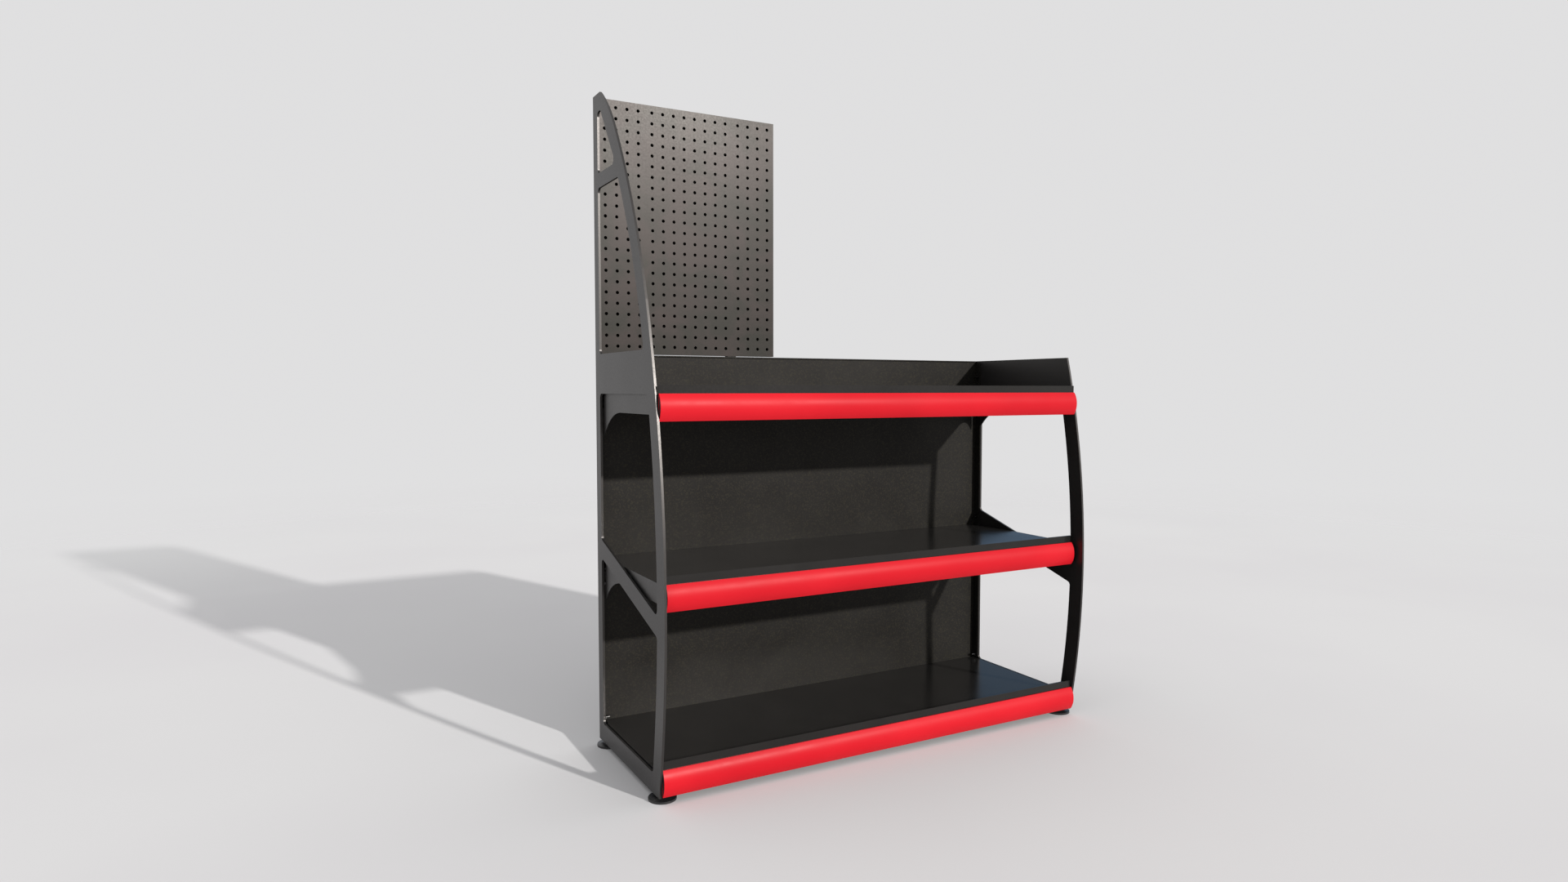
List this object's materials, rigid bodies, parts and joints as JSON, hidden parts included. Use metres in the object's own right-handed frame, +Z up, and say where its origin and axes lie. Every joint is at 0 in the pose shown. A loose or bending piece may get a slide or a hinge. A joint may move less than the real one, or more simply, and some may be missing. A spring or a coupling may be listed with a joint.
{
  "type": "gondola shelving bay",
  "caption": "Single-sided steel gondola shelving bay: curved cut-out end plates, lipped shelves with bowed red price rails, a half-width pegboard and levelling feet.",
  "frame": {"origin": "on the floor, at the centre of the bounding box in plan: under the middle of the bay", "axes": "+Z up; the shelves face -Y; +X runs to the right for someone facing the shelves, so the tall end plate is at -X"},
  "size_m": [1.021, 0.3865, 1.328],
  "materials": {
    "charcoal_steel": "satin charcoal powder coat with a fine grain",
    "back_steel": "near-black powder coat, lightly speckled",
    "pegboard_steel": "satin charcoal powder coat, slightly lighter",
    "dark_hidden_steel": "matt dark primer",
    "red_rail": "smooth saturated red extrusion with a soft sheen",
    "black_plastic": "moulded black",
    "zinc_steel": "bright zinc plate"
  },
  "bodies": {
    "bay": {"back_joint_strip": "dark_hidden_steel", "back_panel_nuts": "zinc_steel", "back_panel_studs": "zinc_steel", "bottom_price_rail": "red_rail", "bottom_rail_end_caps": "black_plastic", "bottom_shelf": "charcoal_steel", "bottom_shelf_left_bracket": "charcoal_steel", "bottom_shelf_right_bracket": "charcoal_steel", "bottom_shelf_stiffener": "dark_hidden_steel", "clamp_nuts": "zinc_steel", "clamp_studs": "zinc_steel", "cover_screws": "zinc_steel", "foot_bracket_front_left": "charcoal_steel", "foot_bracket_front_right": "charcoal_steel", "foot_bracket_rear_left": "charcoal_steel", "foot_bracket_rear_right": "charcoal_steel", "left_side_plate": "charcoal_steel", "lower_back_panel": "back_steel", "middle_price_rail": "red_rail", "middle_rail_end_caps": "black_plastic", "middle_shelf": "charcoal_steel", "middle_shelf_left_bracket": "charcoal_steel", "middle_shelf_right_bracket": "charcoal_steel", "middle_shelf_stiffener": "dark_hidden_steel", "peg_post_left": "dark_hidden_steel", "peg_post_right": "dark_hidden_steel", "pegboard_back_cover": "pegboard_steel", "pegboard_panel": "pegboard_steel", "post_clamps": "dark_hidden_steel", "rail_rivets": "zinc_steel", "right_side_plate": "charcoal_steel", "shelf_nuts": "zinc_steel", "shelf_rear_bolts": "zinc_steel", "shelf_rear_nuts": "zinc_steel", "shelf_spacers": "zinc_steel", "shelf_studs": "zinc_steel", "top_price_rail": "red_rail", "top_rail_end_caps": "black_plastic", "top_shelf": "charcoal_steel", "top_shelf_left_bracket": "charcoal_steel", "top_shelf_right_bracket": "charcoal_steel", "top_shelf_stiffener": "dark_hidden_steel", "upper_back_panel": "back_steel"},
    "pad_front_left": {"foot_pad_front_left": "black_plastic"},
    "stem_front_left": {"foot_stem_front_left": "zinc_steel"},
    "pad_front_right": {"foot_pad_front_right": "black_plastic"},
    "stem_front_right": {"foot_stem_front_right": "zinc_steel"},
    "pad_rear_left": {"foot_pad_rear_left": "black_plastic"},
    "stem_rear_left": {"foot_stem_rear_left": "zinc_steel"},
    "pad_rear_right": {"foot_pad_rear_right": "black_plastic"},
    "stem_rear_right": {"foot_stem_rear_right": "zinc_steel"}
  },
  "joints": [
    {"name": "level_front_left", "type": "slide", "parent": "bay", "child": "pad_front_left", "axis": [0, 0, 1], "range_m": [-0.012, 0.003]},
    {"name": "turn_front_left", "type": "hinge", "parent": "pad_front_left", "child": "stem_front_left", "pos_m": [-0.4845, -0.13675, 0.01], "axis": [0, 0, 1], "range_deg": [-3460, 865]},
    {"name": "level_front_right", "type": "slide", "parent": "bay", "child": "pad_front_right", "axis": [0, 0, 1], "range_m": [-0.012, 0.003]},
    {"name": "turn_front_right", "type": "hinge", "parent": "pad_front_right", "child": "stem_front_right", "pos_m": [0.4845, -0.13675, 0.01], "axis": [0, 0, 1], "range_deg": [-3460, 865]},
    {"name": "level_rear_left", "type": "slide", "parent": "bay", "child": "pad_rear_left", "axis": [0, 0, 1], "range_m": [-0.012, 0.003]},
    {"name": "turn_rear_left", "type": "hinge", "parent": "pad_rear_left", "child": "stem_rear_left", "pos_m": [-0.4845, 0.16025, 0.01], "axis": [0, 0, 1], "range_deg": [-3460, 865]},
    {"name": "level_rear_right", "type": "slide", "parent": "bay", "child": "pad_rear_right", "axis": [0, 0, 1], "range_m": [-0.012, 0.003]},
    {"name": "turn_rear_right", "type": "hinge", "parent": "pad_rear_right", "child": "stem_rear_right", "pos_m": [0.4845, 0.16025, 0.01], "axis": [0, 0, 1], "range_deg": [-3460, 865]}
  ],
  "couplings": [
    {"joint": "turn_front_left", "follows": "level_front_left", "rad_per_m": 5026.5},
    {"joint": "turn_front_right", "follows": "level_front_right", "rad_per_m": 5026.5},
    {"joint": "turn_rear_left", "follows": "level_rear_left", "rad_per_m": 5026.5},
    {"joint": "turn_rear_right", "follows": "level_rear_right", "rad_per_m": 5026.5}
  ]
}
